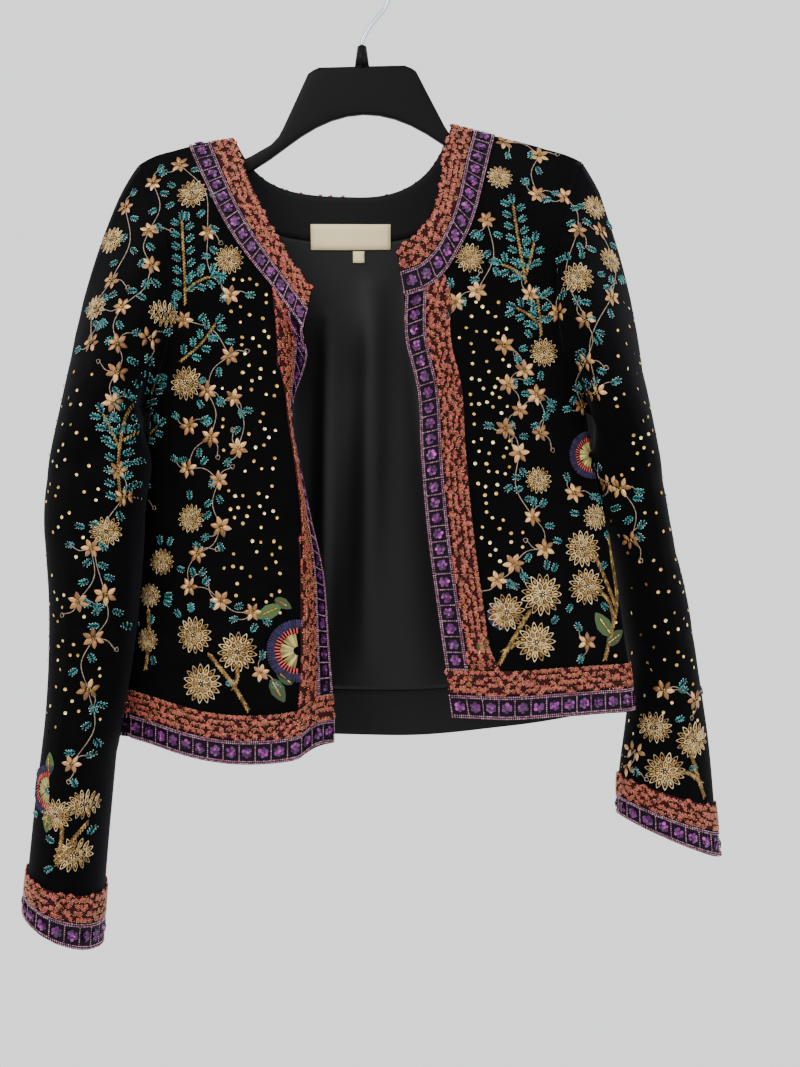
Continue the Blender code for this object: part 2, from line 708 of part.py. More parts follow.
# Velvet: two fronts, the back and two sleeves
right, left = (Panel(*front_grid(side), 0, outward=side == "left") for side in ("right", "left"))
back = Panel(*back_grid(), SHOULDER_COLUMNS, outward=False)
for panel in (right, left):
    panel.level_seam(seams(panel, slice(NECK_COLUMNS, None), -1, -1))
back.level_seam(seams(back, slice(0, SHOULDER_COLUMNS + 1), 0, 0))
back.level_seam(seams(back, slice(-SHOULDER_COLUMNS - 1, None), -1, -1))
back.solid("back")
for side, panel in (("right", right), ("left", left)):
    panel.solid(f"front_{side}")
    sleeve(side, panel, back)

# Trim: a rust and a violet band at the neck, the hem and both front edges
for name, rows in (("rust", slice(0, 2)), ("violet", slice(1, 3))):
    around_neck = [(right, right.strip[rows]), (back, back.strip[rows]), (left, left.strip[rows, ::-1])]
    trim(f"neck_band_{name}", around_neck, name)
for name, rows in (("rust", slice(-3, -1)), ("violet", slice(-2, None))):
    around_hem = [(right, right.main[rows]), (back, back.main[rows]), (left, left.main[rows, ::-1])]
    trim(f"hem_band_{name}", around_hem, name)
for side, panel in (("right", right), ("left", left)):
    trim(f"front_band_violet_{side}", [(panel, panel.main[:-2, 0:2])], "violet")
    trim(f"front_band_rust_{side}", [(panel, panel.main[:-2, 1:3])], "rust")

# Inside the back: neck facing, lining, hem facing, label and size tab
inside("back_neck_facing", back, back.strip, "velvet")
inside("back_lining", back, back.main[:-2, 1:-1], "satin")
inside("hem_facing", back, back.main[-3:], "velvet")
back_patch("label", LABEL_CENTRE, LABEL_SIZE, (8, 2), "cotton")
back_patch("size_tab", TAB_CENTRE, TAB_SIZE, (2, 2), "cotton")

hanger()
hook()
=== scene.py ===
"""An open velvet jacket with bead and sequin embroidery, hanging on a plain hanger in a pale room."""

import math

import bmesh
import bpy
import numpy as np
from mathutils import Matrix, Vector
from mathutils.bvhtree import BVHTree


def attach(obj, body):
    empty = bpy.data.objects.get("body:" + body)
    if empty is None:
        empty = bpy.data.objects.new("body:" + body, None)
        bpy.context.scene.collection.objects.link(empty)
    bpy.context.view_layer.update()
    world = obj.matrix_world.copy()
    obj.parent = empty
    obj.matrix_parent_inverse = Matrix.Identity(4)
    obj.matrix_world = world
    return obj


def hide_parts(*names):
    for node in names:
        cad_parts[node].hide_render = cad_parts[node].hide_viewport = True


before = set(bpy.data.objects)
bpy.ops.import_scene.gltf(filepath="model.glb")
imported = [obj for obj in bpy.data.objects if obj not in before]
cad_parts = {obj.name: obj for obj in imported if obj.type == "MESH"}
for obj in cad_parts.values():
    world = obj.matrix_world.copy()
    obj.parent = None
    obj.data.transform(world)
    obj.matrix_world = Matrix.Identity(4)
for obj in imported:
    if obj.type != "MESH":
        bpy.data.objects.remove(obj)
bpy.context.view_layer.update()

# Floor
# A pale studio floor of sanded plaster lies far below the hem. The jacket hangs clear of it, in a room
# that is an even pale grey on all sides.
MM = 0.001


def linear(code):
    """An sRGB hex colour as linear red, green, blue and alpha."""
    parts = [int(code[k:k + 2], 16) / 255 for k in (1, 3, 5)]
    return [c / 12.92 if c <= 0.04045 else ((c + 0.055) / 1.055) ** 2.4 for c in parts] + [1]


def new_material(name, base, roughness, **settings):
    """A Principled material with constant settings."""
    made = bpy.data.materials.new(name)
    made.use_nodes = True
    shader = made.node_tree.nodes["Principled BSDF"]
    values = {"Base Color": linear(base), "Roughness": roughness}
    values.update({key.replace("_", " "): value for key, value in settings.items()})
    for key, value in values.items():
        shader.inputs[key].default_value = value
    return made


def add_node(tree, kind, settings=(), links=()):
    """Adds a node. settings name its properties or sockets, and links give (socket, other node's output)."""
    made = tree.nodes.new(kind)
    for key, value in dict(settings).items():
        if key in made.inputs:
            made.inputs[key].default_value = value
        else:
            setattr(made, key, value)
    for key, output in dict(links).items():
        tree.links.new(output, made.inputs[key])
    return made


def grained(material, grain, strength):
    """Gives a material a fine uneven grain, such as a mould or a die leaves. Its size is in millimetres."""
    tree = material.node_tree
    place = add_node(tree, "ShaderNodeTexCoord")
    speckle = add_node(tree, "ShaderNodeTexNoise", {"Scale": 1 / (grain * MM), "Detail": 4.0},
                       {"Vector": place.outputs["Object"]})
    bump = add_node(tree, "ShaderNodeBump", {"Strength": strength, "Distance": 0.2 * MM},
                    {"Height": speckle.outputs["Fac"]})
    tree.links.new(bump.outputs["Normal"], tree.nodes["Principled BSDF"].inputs["Normal"])
    return material


def mesh_object(name, mesh, material):
    """An object at the origin for a mesh, in the scene."""
    made = bpy.data.objects.new(name, mesh)
    mesh.materials.append(material)
    bpy.context.scene.collection.objects.link(made)
    return made


def slab(name, low, high, material):
    """A plain box between two corners."""
    bm = bmesh.new()
    bmesh.ops.create_cube(bm, size=1)
    low, high = Vector(low), Vector(high)
    for v in bm.verts:
        v.co = Vector((a + (b - a) * (c + 0.5) for a, b, c in zip(low, high, v.co)))
    mesh = bpy.data.meshes.new(name)
    bm.to_mesh(mesh)
    bm.free()
    return mesh_object(name, mesh, material)


# Sanded plaster scatters light evenly, so the floor has no shine.
plaster = grained(new_material("pale plaster floor", "#dddcd8", 0.7), 6.0, 0.2)
FLOOR_LOW, FLOOR_HIGH = (-3, -3, -2.04), (3, 2.2, -2.0)
floor = slab("floor", FLOOR_LOW, FLOOR_HIGH, plaster)

# Velvet
# Two fronts, the back and two sleeves are cut from black cotton velvet and sewn together at the shoulders
# and sides. The cloth hangs from the hanger in soft creases.
SHARP = math.radians(60)  # edges bent by more than this aren't shaded smooth


def merged(node):
    """A CAD node's mesh with its split corners welded."""
    bm = bmesh.new()
    bm.from_mesh(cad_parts[node].data)
    bmesh.ops.remove_doubles(bm, verts=bm.verts, dist=1e-6)
    bm.normal_update()
    return bm


def fine_copy(name, node, levels, material):
    """A rounded, finer copy of a CAD node. Its rims stay sharp."""
    bm = merged(node)
    bmesh.ops.join_triangles(bm, faces=bm.faces, angle_face_threshold=0.6, angle_shape_threshold=1.2)
    # Edges bent by less than 22 degrees are rounded, and those over 50 degrees stay as they are.
    crease = bm.edges.layers.float.new("crease_edge")
    for edge in bm.edges:
        edge[crease] = np.interp(math.degrees(edge.calc_face_angle(0)), [22, 30, 50], [0, 0.85, 1])
    rough = bpy.data.meshes.new(name)
    bm.to_mesh(rough)
    bm.free()
    made = mesh_object(name, rough, material)
    rounding = made.modifiers.new("rounding", "SUBSURF")
    rounding.levels = rounding.render_levels = levels
    fine = bpy.data.meshes.new_from_object(made.evaluated_get(bpy.context.evaluated_depsgraph_get()))
    made.modifiers.clear()
    made.data = fine
    fine.name = name
    fine.shade_smooth()
    fine.set_sharp_from_angle(angle=SHARP)
    return made


def settle(piece, node):
    """Ties a piece to the part and hides the CAD node that it stands for."""
    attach(piece, "root")
    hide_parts(node)


def pressed_along(piece, creases, axis=1):
    """Moves a cloth along an axis in soft troughs.

    A trough runs from x, z to x, z in the front view, with a half width and a depth, all in millimetres.
    """
    mesh = piece.data
    points = np.empty(3 * len(mesh.vertices))
    mesh.vertices.foreach_get("co", points)
    points = points.reshape(-1, 3)
    for x, z, to_x, to_z, half_width, depth in creases:
        run = np.array((to_x - x, to_z - z)) * MM
        reach = points[:, ::2] - np.array((x, z)) * MM
        share = np.clip(reach @ run / (run @ run), 0, 1)
        gap = np.linalg.norm(reach - share[:, None] * run, axis=1) / (half_width * MM)
        points[:, axis] += depth * MM * np.exp(-2 * gap**2) * (0.25 + 0.75 * np.sin(math.pi * share))
    mesh.vertices.foreach_set("co", points.ravel())
    mesh.update()


def tree_of(pieces):
    """One search tree over several meshes."""
    verts, faces = [], []
    for piece in pieces:
        start = len(verts)
        verts += [v.co.copy() for v in piece.data.vertices]
        faces += [tuple(start + k for k in p.vertices) for p in piece.data.polygons]
    return BVHTree.FromPolygons(verts, faces)


# Pile cloth scatters light, so it is near black from the front with a faint grey edge.
velvet = new_material("black cotton velvet", "#030304", 0.95, Sheen_Weight=0.1, Sheen_Roughness=0.4,
                      Sheen_Tint=linear("#7c7c8a"), Specular_IOR_Level=0.05)
tree = velvet.node_tree
shader = tree.nodes["Principled BSDF"]
place = add_node(tree, "ShaderNodeTexCoord")
PILE, BRUSHED = 1.1, 16.0  # millimetres across a tuft, and across a patch brushed one way
pile = add_node(tree, "ShaderNodeTexNoise", {"Scale": 1 / (PILE * MM), "Detail": 3.0},
                {"Vector": place.outputs["Object"]})
bump = add_node(tree, "ShaderNodeBump", {"Strength": 0.5, "Distance": 0.4 * MM},
                {"Height": pile.outputs["Fac"]})
tree.links.new(bump.outputs["Normal"], shader.inputs["Normal"])
brushed = add_node(tree, "ShaderNodeTexNoise", {"Scale": 1 / (BRUSHED * MM)},
                   {"Vector": place.outputs["Object"]})
shades = add_node(tree, "ShaderNodeValToRGB", {}, {"Fac": brushed.outputs["Fac"]})
for stop, color in zip(shades.color_ramp.elements, ("#010101", "#050506")):
    stop.color = linear(color)
tree.links.new(shades.outputs["Color"], shader.inputs["Base Color"])

# Each panel's cut: flat width and length in metres, flat area in square metres
VELVET_CUTS = {
    "back": (0.46, 0.53, 0.196),
    "front_right": (0.24, 0.53, 0.087),
    "front_left": (0.21, 0.51, 0.071),
    "sleeve_right": (0.30, 0.66, 0.146),
    "sleeve_left": (0.29, 0.60, 0.126),
}
# The creases pressed into each panel, along y
CREASES = {
    "back": [
        (-120, -300, -130, -560, 22, 5), (-40, -250, -30, -540, 26, 4), (60, -280, 75, -560, 24, 5),
        (140, -330, 150, -560, 18, 4), (-170, -400, -150, -470, 12, 3),
    ],
    "front_right": [
        (-172, -420, -128, -480, 14, 4), (-150, -240, -128, -330, 12, 3), (-100, -480, -92, -570, 13, 3),
    ],
    "front_left": [
        (186, -410, 150, -476, 14, 4), (150, -240, 138, -330, 12, 3), (165, -500, 172, -570, 13, 3),
    ],
    "sleeve_right": [
        (-262, -440, -196, -408, 12, 5), (-258, -492, -204, -474, 10, 4), (-250, -330, -205, -352, 11, 4),
        (-247, -590, -222, -560, 9, 3), (-246, -690, -222, -672, 8, 2),
    ],
    "sleeve_left": [
        (282, -450, 222, -418, 12, 5), (285, -500, 226, -486, 10, 4), (262, -330, 214, -356, 11, 4),
        (290, -570, 250, -548, 9, 3),
    ],
}
# Where a sleeve swings in against the side of the body, its cloth fills the gap along x.
SWINGS = {
    "sleeve_right": [(-190, -372, -188, -450, 14, 13), (-188, -450, -204, -650, 12, 7)],
    "sleeve_left": [(190, -354, 220, -490, 18, -13)],
}
# Over each shoulder point the cloth stands up a little in a round, along z.
SHOULDERS = [(164, -148, 212, -204, 24, 6), (-168, -150, -214, -214, 22, 5)]
panels = {}
for node, (width, length, area) in VELVET_CUTS.items():
    panels[node] = fine_copy(f"{node}_velvet", node, 2, velvet)
    pressed_along(panels[node], CREASES[node])
    pressed_along(panels[node], SWINGS.get(node, []), axis=0)
    pressed_along(panels[node], SHOULDERS, axis=2)
    settle(panels[node], node)
cloth = tree_of(panels.values())

# Trim ribbon
# Two ribbons, each about 20 mm wide, lie side by side along the neck, front edges, hem and cuffs. The inner
# one is dark red grosgrain, the outer one plum satin. They are stitched to the velvet by their edges.
RIBBON_LOW, RIBBON_HIGH = 0.4, 1.1  # millimetres from the velvet to a ribbon's two faces
RIBBON_STEP, RIBBON_COLUMNS = 4, 6  # millimetres from row to row, and points in a row
BAND_WALL = 1.2  # millimetres, the thickness of a band's solid


def unit(vectors):
    """The vectors, each made one long."""
    return vectors / np.linalg.norm(vectors, axis=-1, keepdims=True)


def smooth_path(points, pitch):
    """Evenly spaced points on a smooth curve through a few, and the way it heads at each."""
    points = np.asarray(points, float)
    along = np.concatenate([[0], np.cumsum(np.linalg.norm(np.diff(points, axis=0), axis=1))])
    slopes = np.gradient(points, along, axis=0)
    at = np.linspace(0, along[-1], max(int(round(along[-1] / pitch)), 1) + 1)
    i = np.clip(np.searchsorted(along, at) - 1, 0, len(along) - 2)
    step = (along[i + 1] - along[i])[:, None]
    t = ((at - along[i])[:, None]) / step
    rise = 3 * t**2 - 2 * t**3
    path = points[i] * (1 - rise) + points[i + 1] * rise
    path += step * ((t**3 - 2 * t**2 + t) * slopes[i] + (t**3 - t**2) * slopes[i + 1])
    return path, unit(np.gradient(path, axis=0))


def rails(node):
    """The two long edges of a trim's outer face, as matching points about a millimetre apart."""
    bm = merged(node)
    # Without the faces of its edge, a band falls into an inner and an outer sheet.
    edging = {f for f in bm.faces if any(abs(e.calc_length() - BAND_WALL * MM) < 0.02 * MM for e in f.edges)}
    left, sheets = set(bm.faces) - edging, []
    while left:
        sheet = [left.pop()]
        for face in sheet:
            onward = left.intersection(other for edge in face.edges for other in edge.link_faces)
            left -= onward
            sheet += onward
        sheets.append(sheet)
    gaps = [[cut_cloth.find_nearest(f.calc_center_median())[3] for f in sheet] for sheet in sheets]
    outer = set(sheets[np.argmax([np.mean(gap) for gap in gaps])])
    # The outer sheet's rim is two rings round a closed band, or one loop round an open one.
    rim = [e for e in bm.edges if sum(f in outer for f in e.link_faces) == 1]
    loops = []
    while rim:
        loop = list(rim.pop().verts)
        while loop[-1] != loop[0]:
            onward = next(e for e in loop[-1].link_edges if e in rim)
            rim.remove(onward)
            loop.append(onward.other_vert(loop[-1]))
        loops.append(np.array([v.co for v in loop[:-1]]))
    bm.free()
    if len(loops) == 2:
        # The second ring is turned until its points lie next to those of the first.
        first, second = loops
        turned = [np.roll(way, k, axis=0) for way in (second, second[::-1]) for k in range(len(second))]
        second = min(turned, key=lambda ring: np.linalg.norm(ring - first, axis=1).sum())
        first, second = (np.concatenate([s, s[:1]]) for s in (first, second))
    else:
        # The loop is cut in two at its four sharpest corners.
        loop = loops[0]
        half = len(loop) // 2
        step = unit(np.roll(loop, -1, axis=0) - loop)
        turn = np.arccos(np.clip((step * np.roll(step, 1, axis=0)).sum(axis=1), -1, 1))
        corners = sum(np.roll(turn, -k) for k in (0, 1, half, half + 1))
        loop = np.roll(loop, -1 - corners[:half].argmax(), axis=0)
        first, second = loop[:half], loop[half:][::-1]
    # Pairs of points that crowd each other would put kinks in the path.
    pairs = np.concatenate([first, second], axis=1)
    clear = np.linalg.norm(np.diff(pairs, axis=0), axis=1) > 3 * MM
    pairs = pairs[np.concatenate([[True], clear])]
    path = smooth_path(pairs, MM * math.sqrt(2))[0]
    return path[:, :3], path[:, 3:]


def shape_of(bm):
    """A bmesh's points and faces. The faces are sorted, because some operators add them in no fixed order."""
    bm.verts.index_update()
    shape = np.array([v.co for v in bm.verts]), sorted(tuple(v.index for v in f.verts) for f in bm.faces)
    bm.free()
    return shape


def thin_sheet(name, grid, out, low, high, material):
    """A closed ribbon over a grid of points, between two distances from them in millimetres."""
    rows, columns = grid.shape[:2]
    flat, out = grid.reshape(-1, 3), out.reshape(-1, 3)
    bm = bmesh.new()
    bmesh.ops.create_grid(bm, x_segments=columns - 1, y_segments=rows - 1, size=1)
    spot = bm.verts.layers.int.new("spot")
    for k, v in enumerate(bm.verts):
        v[spot] = k
    raised = set(bmesh.ops.extrude_face_region(bm, geom=bm.faces[:])["geom"])
    for v in bm.verts:
        v.co = flat[v[spot]] + out[v[spot]] * (high if v in raised else low) * MM
    bm.verts.layers.int.remove(spot)
    bmesh.ops.recalc_face_normals(bm, faces=bm.faces)
    points, faces = shape_of(bm)
    mesh = bpy.data.meshes.new(name)
    mesh.from_pydata(points.tolist(), [], faces)
    mesh.shade_smooth()
    mesh.set_sharp_from_angle(angle=SHARP)
    return mesh_object(name, mesh, material)


def drape(tree, points, out):
    """Each point dropped along its outward way on to some cloth. One that finds none keeps its place."""
    above, reach, under = 4 * MM, 9 * MM, (RIBBON_LOW + RIBBON_HIGH) * MM
    drops = [tree.ray_cast(Vector(p + above * n), Vector(-n), reach)[0] for p, n in zip(points, out)]
    return np.array([p - under * n if d is None else d for p, n, d in zip(points, out, drops)])


def ribbed(material, rib, strength, angle):
    """Gives a woven material raised ribs, a rib's width apart in millimetres, turned in the front view."""
    tree = material.node_tree
    place = add_node(tree, "ShaderNodeTexCoord")
    turned = add_node(tree, "ShaderNodeMapping", {"Rotation": (0, angle, 0)},
                      {"Vector": place.outputs["Object"]})
    ribs = add_node(tree, "ShaderNodeTexWave", {"Scale": 2 * math.pi / (20 * rib * MM), "Distortion": 1.5},
                    {"Vector": turned.outputs["Vector"]})
    bump = add_node(tree, "ShaderNodeBump", {"Strength": strength, "Distance": 0.3 * MM},
                    {"Height": ribs.outputs["Fac"]})
    tree.links.new(bump.outputs["Normal"], tree.nodes["Principled BSDF"].inputs["Normal"])
    return material


# Grosgrain's cross ribs break up the little light that falls between the beads.
grosgrain = new_material("dark red grosgrain ribbon", "#2d0f11", 0.85, Specular_IOR_Level=0.1)
ribbed(grosgrain, 1.3, 0.5, 0.0)
# Satin is woven finer and lies smoother, so it is dark with a soft shine.
plum = new_material("plum satin ribbon", "#0d0410", 0.6, Specular_IOR_Level=0.1)
ribbed(plum, 0.8, 0.25, 0.8)
cut_cloth = tree_of(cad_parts[node] for node in VELVET_CUTS)
bands = {}
for node in [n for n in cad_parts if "_band_" in n]:
    first, second = rails(node)
    picks = np.linspace(0, len(first) - 1, len(first) // RIBBON_STEP).astype(int)
    across = np.linspace(0, 1, RIBBON_COLUMNS)[:, None]
    grid = np.stack([first[k] + (second[k] - first[k]) * across for k in picks])
    out = unit(np.cross(np.gradient(grid, axis=0), np.gradient(grid, axis=1)))
    flat, ways = grid.reshape(-1, 3), out.reshape(-1, 3)
    off = flat - np.array([cut_cloth.find_nearest(Vector(p))[0] for p in flat])
    if (off * ways).sum() < 0:
        out, ways = -out, -ways
    grid = drape(cloth, flat, ways).reshape(grid.shape)
    finish, slot = (grosgrain, "rust_beadwork") if "rust" in node else (plum, "violet_sequin")
    ribbon = thin_sheet(f"{node}_ribbon", grid, out, RIBBON_LOW, RIBBON_HIGH, finish)
    settle(ribbon, node)
    length = np.linalg.norm(np.diff(grid[:, 2], axis=0), axis=1).sum()
    bands[node] = grid + out * RIBBON_HIGH * MM, out

# Trim beadwork
# Rust bugle beads in little fans under gold scallops cover the inner ribbon. The outer ribbon is ruled into
# squares with mauve seed beads, and each square holds a violet sequin flower. All are sewn on.


def bead_shape():
    """A low round bead, one unit long, wide and high, standing on the cloth."""
    bm = bmesh.new()
    bmesh.ops.create_uvsphere(bm, u_segments=6, v_segments=2, radius=0.5)
    bmesh.ops.translate(bm, verts=bm.verts, vec=(0, 0, 0.45))
    return shape_of(bm)


def bugle_shape():
    """A six-sided tube bead lying along x."""
    bm = bmesh.new()
    bmesh.ops.create_cone(bm, cap_ends=True, segments=6, radius1=0.5, radius2=0.5, depth=1)
    bmesh.ops.rotate(bm, verts=bm.verts, matrix=Matrix.Rotation(math.radians(90), 3, "Y"))
    bmesh.ops.translate(bm, verts=bm.verts, vec=(0, 0, 0.45))
    return shape_of(bm)


def sequin_shape():
    """A cupped disc with its middle sewn down."""
    bm = bmesh.new()
    bmesh.ops.create_circle(bm, cap_ends=True, cap_tris=True, segments=8, radius=0.5)
    for v in bm.verts:
        v.co.z = 0.3 + 1.4 * v.co.length
    return shape_of(bm)


def sew(name, shape, places, finish):
    """Adds one piece of many copies of a shape. places holds points, outward ways, headings, sizes, tints."""
    verts, faces = shape
    at, out, along, size, tint = (np.asarray(part, float) for part in places)
    along = unit(along - out * (along * out).sum(axis=1, keepdims=True))
    axes = along, np.cross(out, along), out
    local = verts[None] * size[:, None] * MM
    world = at[:, None] + sum(local[..., k:k + 1] * axis[:, None] for k, axis in enumerate(axes))
    count, copies = len(verts), len(at)
    loops = np.concatenate([np.array(face) for face in faces])
    totals = np.array([len(face) for face in faces])
    loops = (loops[None] + count * np.arange(copies)[:, None]).ravel()
    totals = np.tile(totals, copies)
    mesh = bpy.data.meshes.new(name)
    mesh.vertices.add(count * copies)
    mesh.vertices.foreach_set("co", world.ravel())
    mesh.loops.add(len(loops))
    mesh.loops.foreach_set("vertex_index", loops)
    mesh.polygons.add(len(totals))
    mesh.polygons.foreach_set("loop_start", np.concatenate([[0], np.cumsum(totals)[:-1]]))
    mesh.polygons.foreach_set("loop_total", totals)
    mesh.update(calc_edges=True)
    shades = mesh.attributes.new("tint", "FLOAT", "POINT")
    shades.data.foreach_set("value", np.repeat(tint, count))
    mesh.shade_smooth()
    made = mesh_object(name, mesh, finish)
    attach(made, "root")


def tinted(name, colors, roughness, **settings):
    """A bead material whose colour runs through a list, by the tint of each copy."""
    made = new_material(name, colors[0], roughness, **settings)
    tree = made.node_tree
    shade = add_node(tree, "ShaderNodeAttribute", {"attribute_name": "tint"})
    ramp = add_node(tree, "ShaderNodeValToRGB", {}, {"Fac": shade.outputs["Fac"]})
    stops = ramp.color_ramp.elements
    while len(stops) < len(colors):
        stops.new(0.5)
    for k, color in enumerate(colors):
        stops[k].position = k / (len(colors) - 1)
        stops[k].color = linear(color)
    tree.links.new(ramp.outputs["Color"], tree.nodes["Principled BSDF"].inputs["Base Color"])
    return made


def on_band(band, along, across, u, v):
    """Places on a ribbon: a share along and across it, then u and v millimetres further along and across."""
    points, out = band
    rows, columns = points.shape[:2]
    pitch, width = (np.linalg.norm(np.diff(points, axis=k), axis=-1).sum(axis=k).mean() / MM for k in (0, 1))
    i = np.clip((along + u / pitch) * (rows - 1), 0, rows - 1.001)
    j = np.clip((across + v / width) * (columns - 1), 0, columns - 1.001)
    a, b = i.astype(int), j.astype(int)
    s, t = (i - a)[:, None], (j - b)[:, None]

    def blend(grid):
        """The values between the four grid points round each place."""
        near, far = (grid[a, k] * (1 - s) + grid[a + 1, k] * s for k in (b, b + 1))
        return near * (1 - t) + far * t

    way, over = points[a + 1, b] - points[a, b], points[a, b + 1] - points[a, b]
    return blend(points), unit(blend(out)), unit(way), unit(over)


def alike(at, out, heading, size):
    """What sew needs for a bead at each place, all of one size, each with a tint drawn for it."""
    return at, out, heading, np.tile(size, (len(at), 1)), rng.uniform(0, 1, len(at))


def together(parts):
    """The arrays of several sets of beads, joined."""
    return [np.concatenate([part[k] for part in parts]) for k in range(5)]


rng = np.random.default_rng(5)
# Length, width and height of each bead in millimetres
BUGLE, SCALLOP, PIP = (3.4, 1.5, 1.4), (1.3, 0.8, 1.1), (1.3, 1.3, 1.2)
EDGE_SEED, CROSS_SEED = (1.5, 1.35, 1.3), (1.5, 1.2, 1.2)
# The fans' pitch along a row in millimetres, and their rows as shares of the ribbon's width
FAN_PITCH, FAN_ROWS = 4.2, (0.12, 0.37, 0.63, 0.88)
# A fan has three bugles under six scallop beads. Turns are in radians, the rest in millimetres.
FAN_TURNS, FAN_REACH, FAN_DROP = (-0.62, 0.0, 0.62), 1.5, 0.8
SCALLOP_TURNS, SCALLOP_REACH, SCALLOP_LIFT = np.linspace(-1.25, 1.25, 6), 3.1, 0.45
# The violet ribbon's squares and its seed beads' pitch in millimetres, and bead lines as shares of its width
SQUARE, SEED_PITCH = 13.0, 1.7
EDGE_LINES, CROSS_LINE = (0.05, 0.13, 0.87, 0.95), np.arange(0.19, 0.83, 0.085)
# A violet flower's six sequins and four on top: turn in radians, then reach, width and lift in millimetres
SIX = [(k * math.pi / 3, 2.9, 3.5, 0.35) for k in range(6)]
FOUR = [(k * math.pi / 2, 1.1, 2.3, 0.85) for k in range(6, 10)]
# A sequin's height in millimetres, how unevenly it tilts, and the lift of the bead on top in millimetres
SEQUIN_CUP, SEQUIN_TILT, PIP_LIFT = 0.7, 0.22, 0.5
fans, scallops, lines, sequins, pips = [], [], [], [], []
for node, band in bands.items():
    length = np.linalg.norm(np.diff(band[0][:, 2], axis=0), axis=1).sum() / MM
    if "rust" in node:
        count = max(int(length / FAN_PITCH), 3)
        starts = [0.5 * (k % 2) + 0.25 for k in range(len(FAN_ROWS))]
        along = np.concatenate([(np.arange(count) + start) / count for start in starts])
        across = np.repeat(FAN_ROWS, count)
        along = along + rng.uniform(-0.8, 0.8, len(along)) / length
        lean = rng.uniform(-0.9, 0.9, len(along)) + rng.choice([0, math.pi], len(along), p=[0.7, 0.3])
        beads = [(spread, fans, FAN_REACH, BUGLE) for spread in FAN_TURNS]
        beads += [(spread, scallops, SCALLOP_REACH, SCALLOP) for spread in SCALLOP_TURNS]
        for spread, store, reach, size in beads:
            turn = lean + spread
            u, v = reach * np.sin(turn), reach * np.cos(turn) - FAN_DROP
            at, out, way, over = on_band(band, along, across, u, v)
            heading = np.sin(turn)[:, None] * way + np.cos(turn)[:, None] * over
            if store is scallops:
                heading = np.cross(out, heading)
                at = at + SCALLOP_LIFT * MM * out
            store.append(alike(at, out, heading, size))
        continue
    for across in EDGE_LINES:
        along = np.linspace(0, 1, int(length / SEED_PITCH))
        at, out, way, over = on_band(band, along, np.full(len(along), across), 0, 0)
        lines.append(alike(at, out, way, EDGE_SEED))
    squares = max(int(length / SQUARE), 1)
    for k in range(squares + 1):
        at, out, way, over = on_band(band, np.full(len(CROSS_LINE), k / squares), CROSS_LINE, 0, 0)
        lines.append(alike(at, out, over, CROSS_SEED))
    centres, middle = (np.arange(squares) + 0.5) / squares, np.full(squares, 0.5)
    for turn, reach, size, lift in SIX + FOUR:
        turn = turn + rng.uniform(-0.2, 0.2, squares)
        at, out, way, over = on_band(band, centres, middle, reach * np.sin(turn), reach * np.cos(turn))
        tilted = unit(out + rng.normal(0, SEQUIN_TILT, out.shape))
        *sewn, tint = alike(at + lift * MM * out, tilted, way, (size, size, SEQUIN_CUP))
        sequins.append((*sewn, tint**2))
    at, out, way, over = on_band(band, centres, middle, 0, 0)
    pips.append(alike(at + PIP_LIFT * MM * out, out, way, PIP))

# Cut glass gives a dull red with a small bright line on each bead.
rust = tinted("rust glass bugle beads", ["#561416", "#832729", "#a23e3c"], 0.38)
# Gilt beads put a warm glint over the red ones.
gilt = tinted("pale gold seed beads", ["#7a5828", "#b48744", "#e2c27e"], 0.35, Metallic=0.6)
# A pearl coating gives the lines a soft pinkish shine.
mauve = tinted("mauve pearl seed beads", ["#664253", "#8f6077", "#b98fa2"], 0.35)
# Foil is a dark violet that flashes magenta where a sequin tips to the light.
foil = tinted("violet foil sequins", ["#351239", "#5c2160", "#97368f"], 0.36, Metallic=0.4)
# Polished glass puts one bright dot in the middle of each flower.
violet = tinted("violet glass seed beads", ["#6d2f78", "#b987c2"], 0.25)
sew("rust_bugles", bugle_shape(), together(fans), rust)
sew("rust_scallops", bead_shape(), together(scallops), gilt)
sew("mauve_lines", bead_shape(), together(lines), mauve)
sew("violet_sequins", sequin_shape(), together(sequins), foil)
sew("violet_pips", bead_shape(), together(pips), violet)

# Flower embroidery
# Vines of six-petalled gilt flowers climb the fronts and sleeves on stems of fine beads, with teal leaves,
# looped rosettes, gold cord branches, fan palmettes and a scatter of gold sequins. Positions are millimetres
# in the front view, and each bead is laid on the cloth behind its place.


def petal_shape():
    """A pointed petal with a raised heart, along x."""
    bm = bmesh.new()
    bmesh.ops.create_circle(bm, cap_ends=True, cap_tris=True, segments=10, radius=0.5)
    for v in bm.verts:
        v.co.z = 1 - 1.7 * v.co.length
        v.co.y *= 1.15 - 1.8 * v.co.x**2 - 0.5 * v.co.x
        v.co.x -= 0.12 * (v.co.z == 1)
    return shape_of(bm)


def loop_shape():
    """A teardrop loop of cord, pointed at its far end."""
    bm = bmesh.new()
    wire = bmesh.ops.create_circle(bm, segments=4, radius=0.07)["verts"]
    bmesh.ops.rotate(bm, verts=wire, matrix=Matrix.Rotation(math.radians(90), 3, "X"))
    bmesh.ops.translate(bm, verts=wire, vec=(0.43, 0, 0))
    bmesh.ops.spin(bm, geom=bm.verts[:] + bm.edges[:], axis=(0, 0, 1), angle=2 * math.pi, steps=12,
                   use_merge=True)
    bmesh.ops.recalc_face_normals(bm, faces=bm.faces)
    for v in bm.verts:
        v.co.y *= 1 - 0.9 * v.co.x
        v.co.z = 7 * v.co.z + 0.5
    return shape_of(bm)


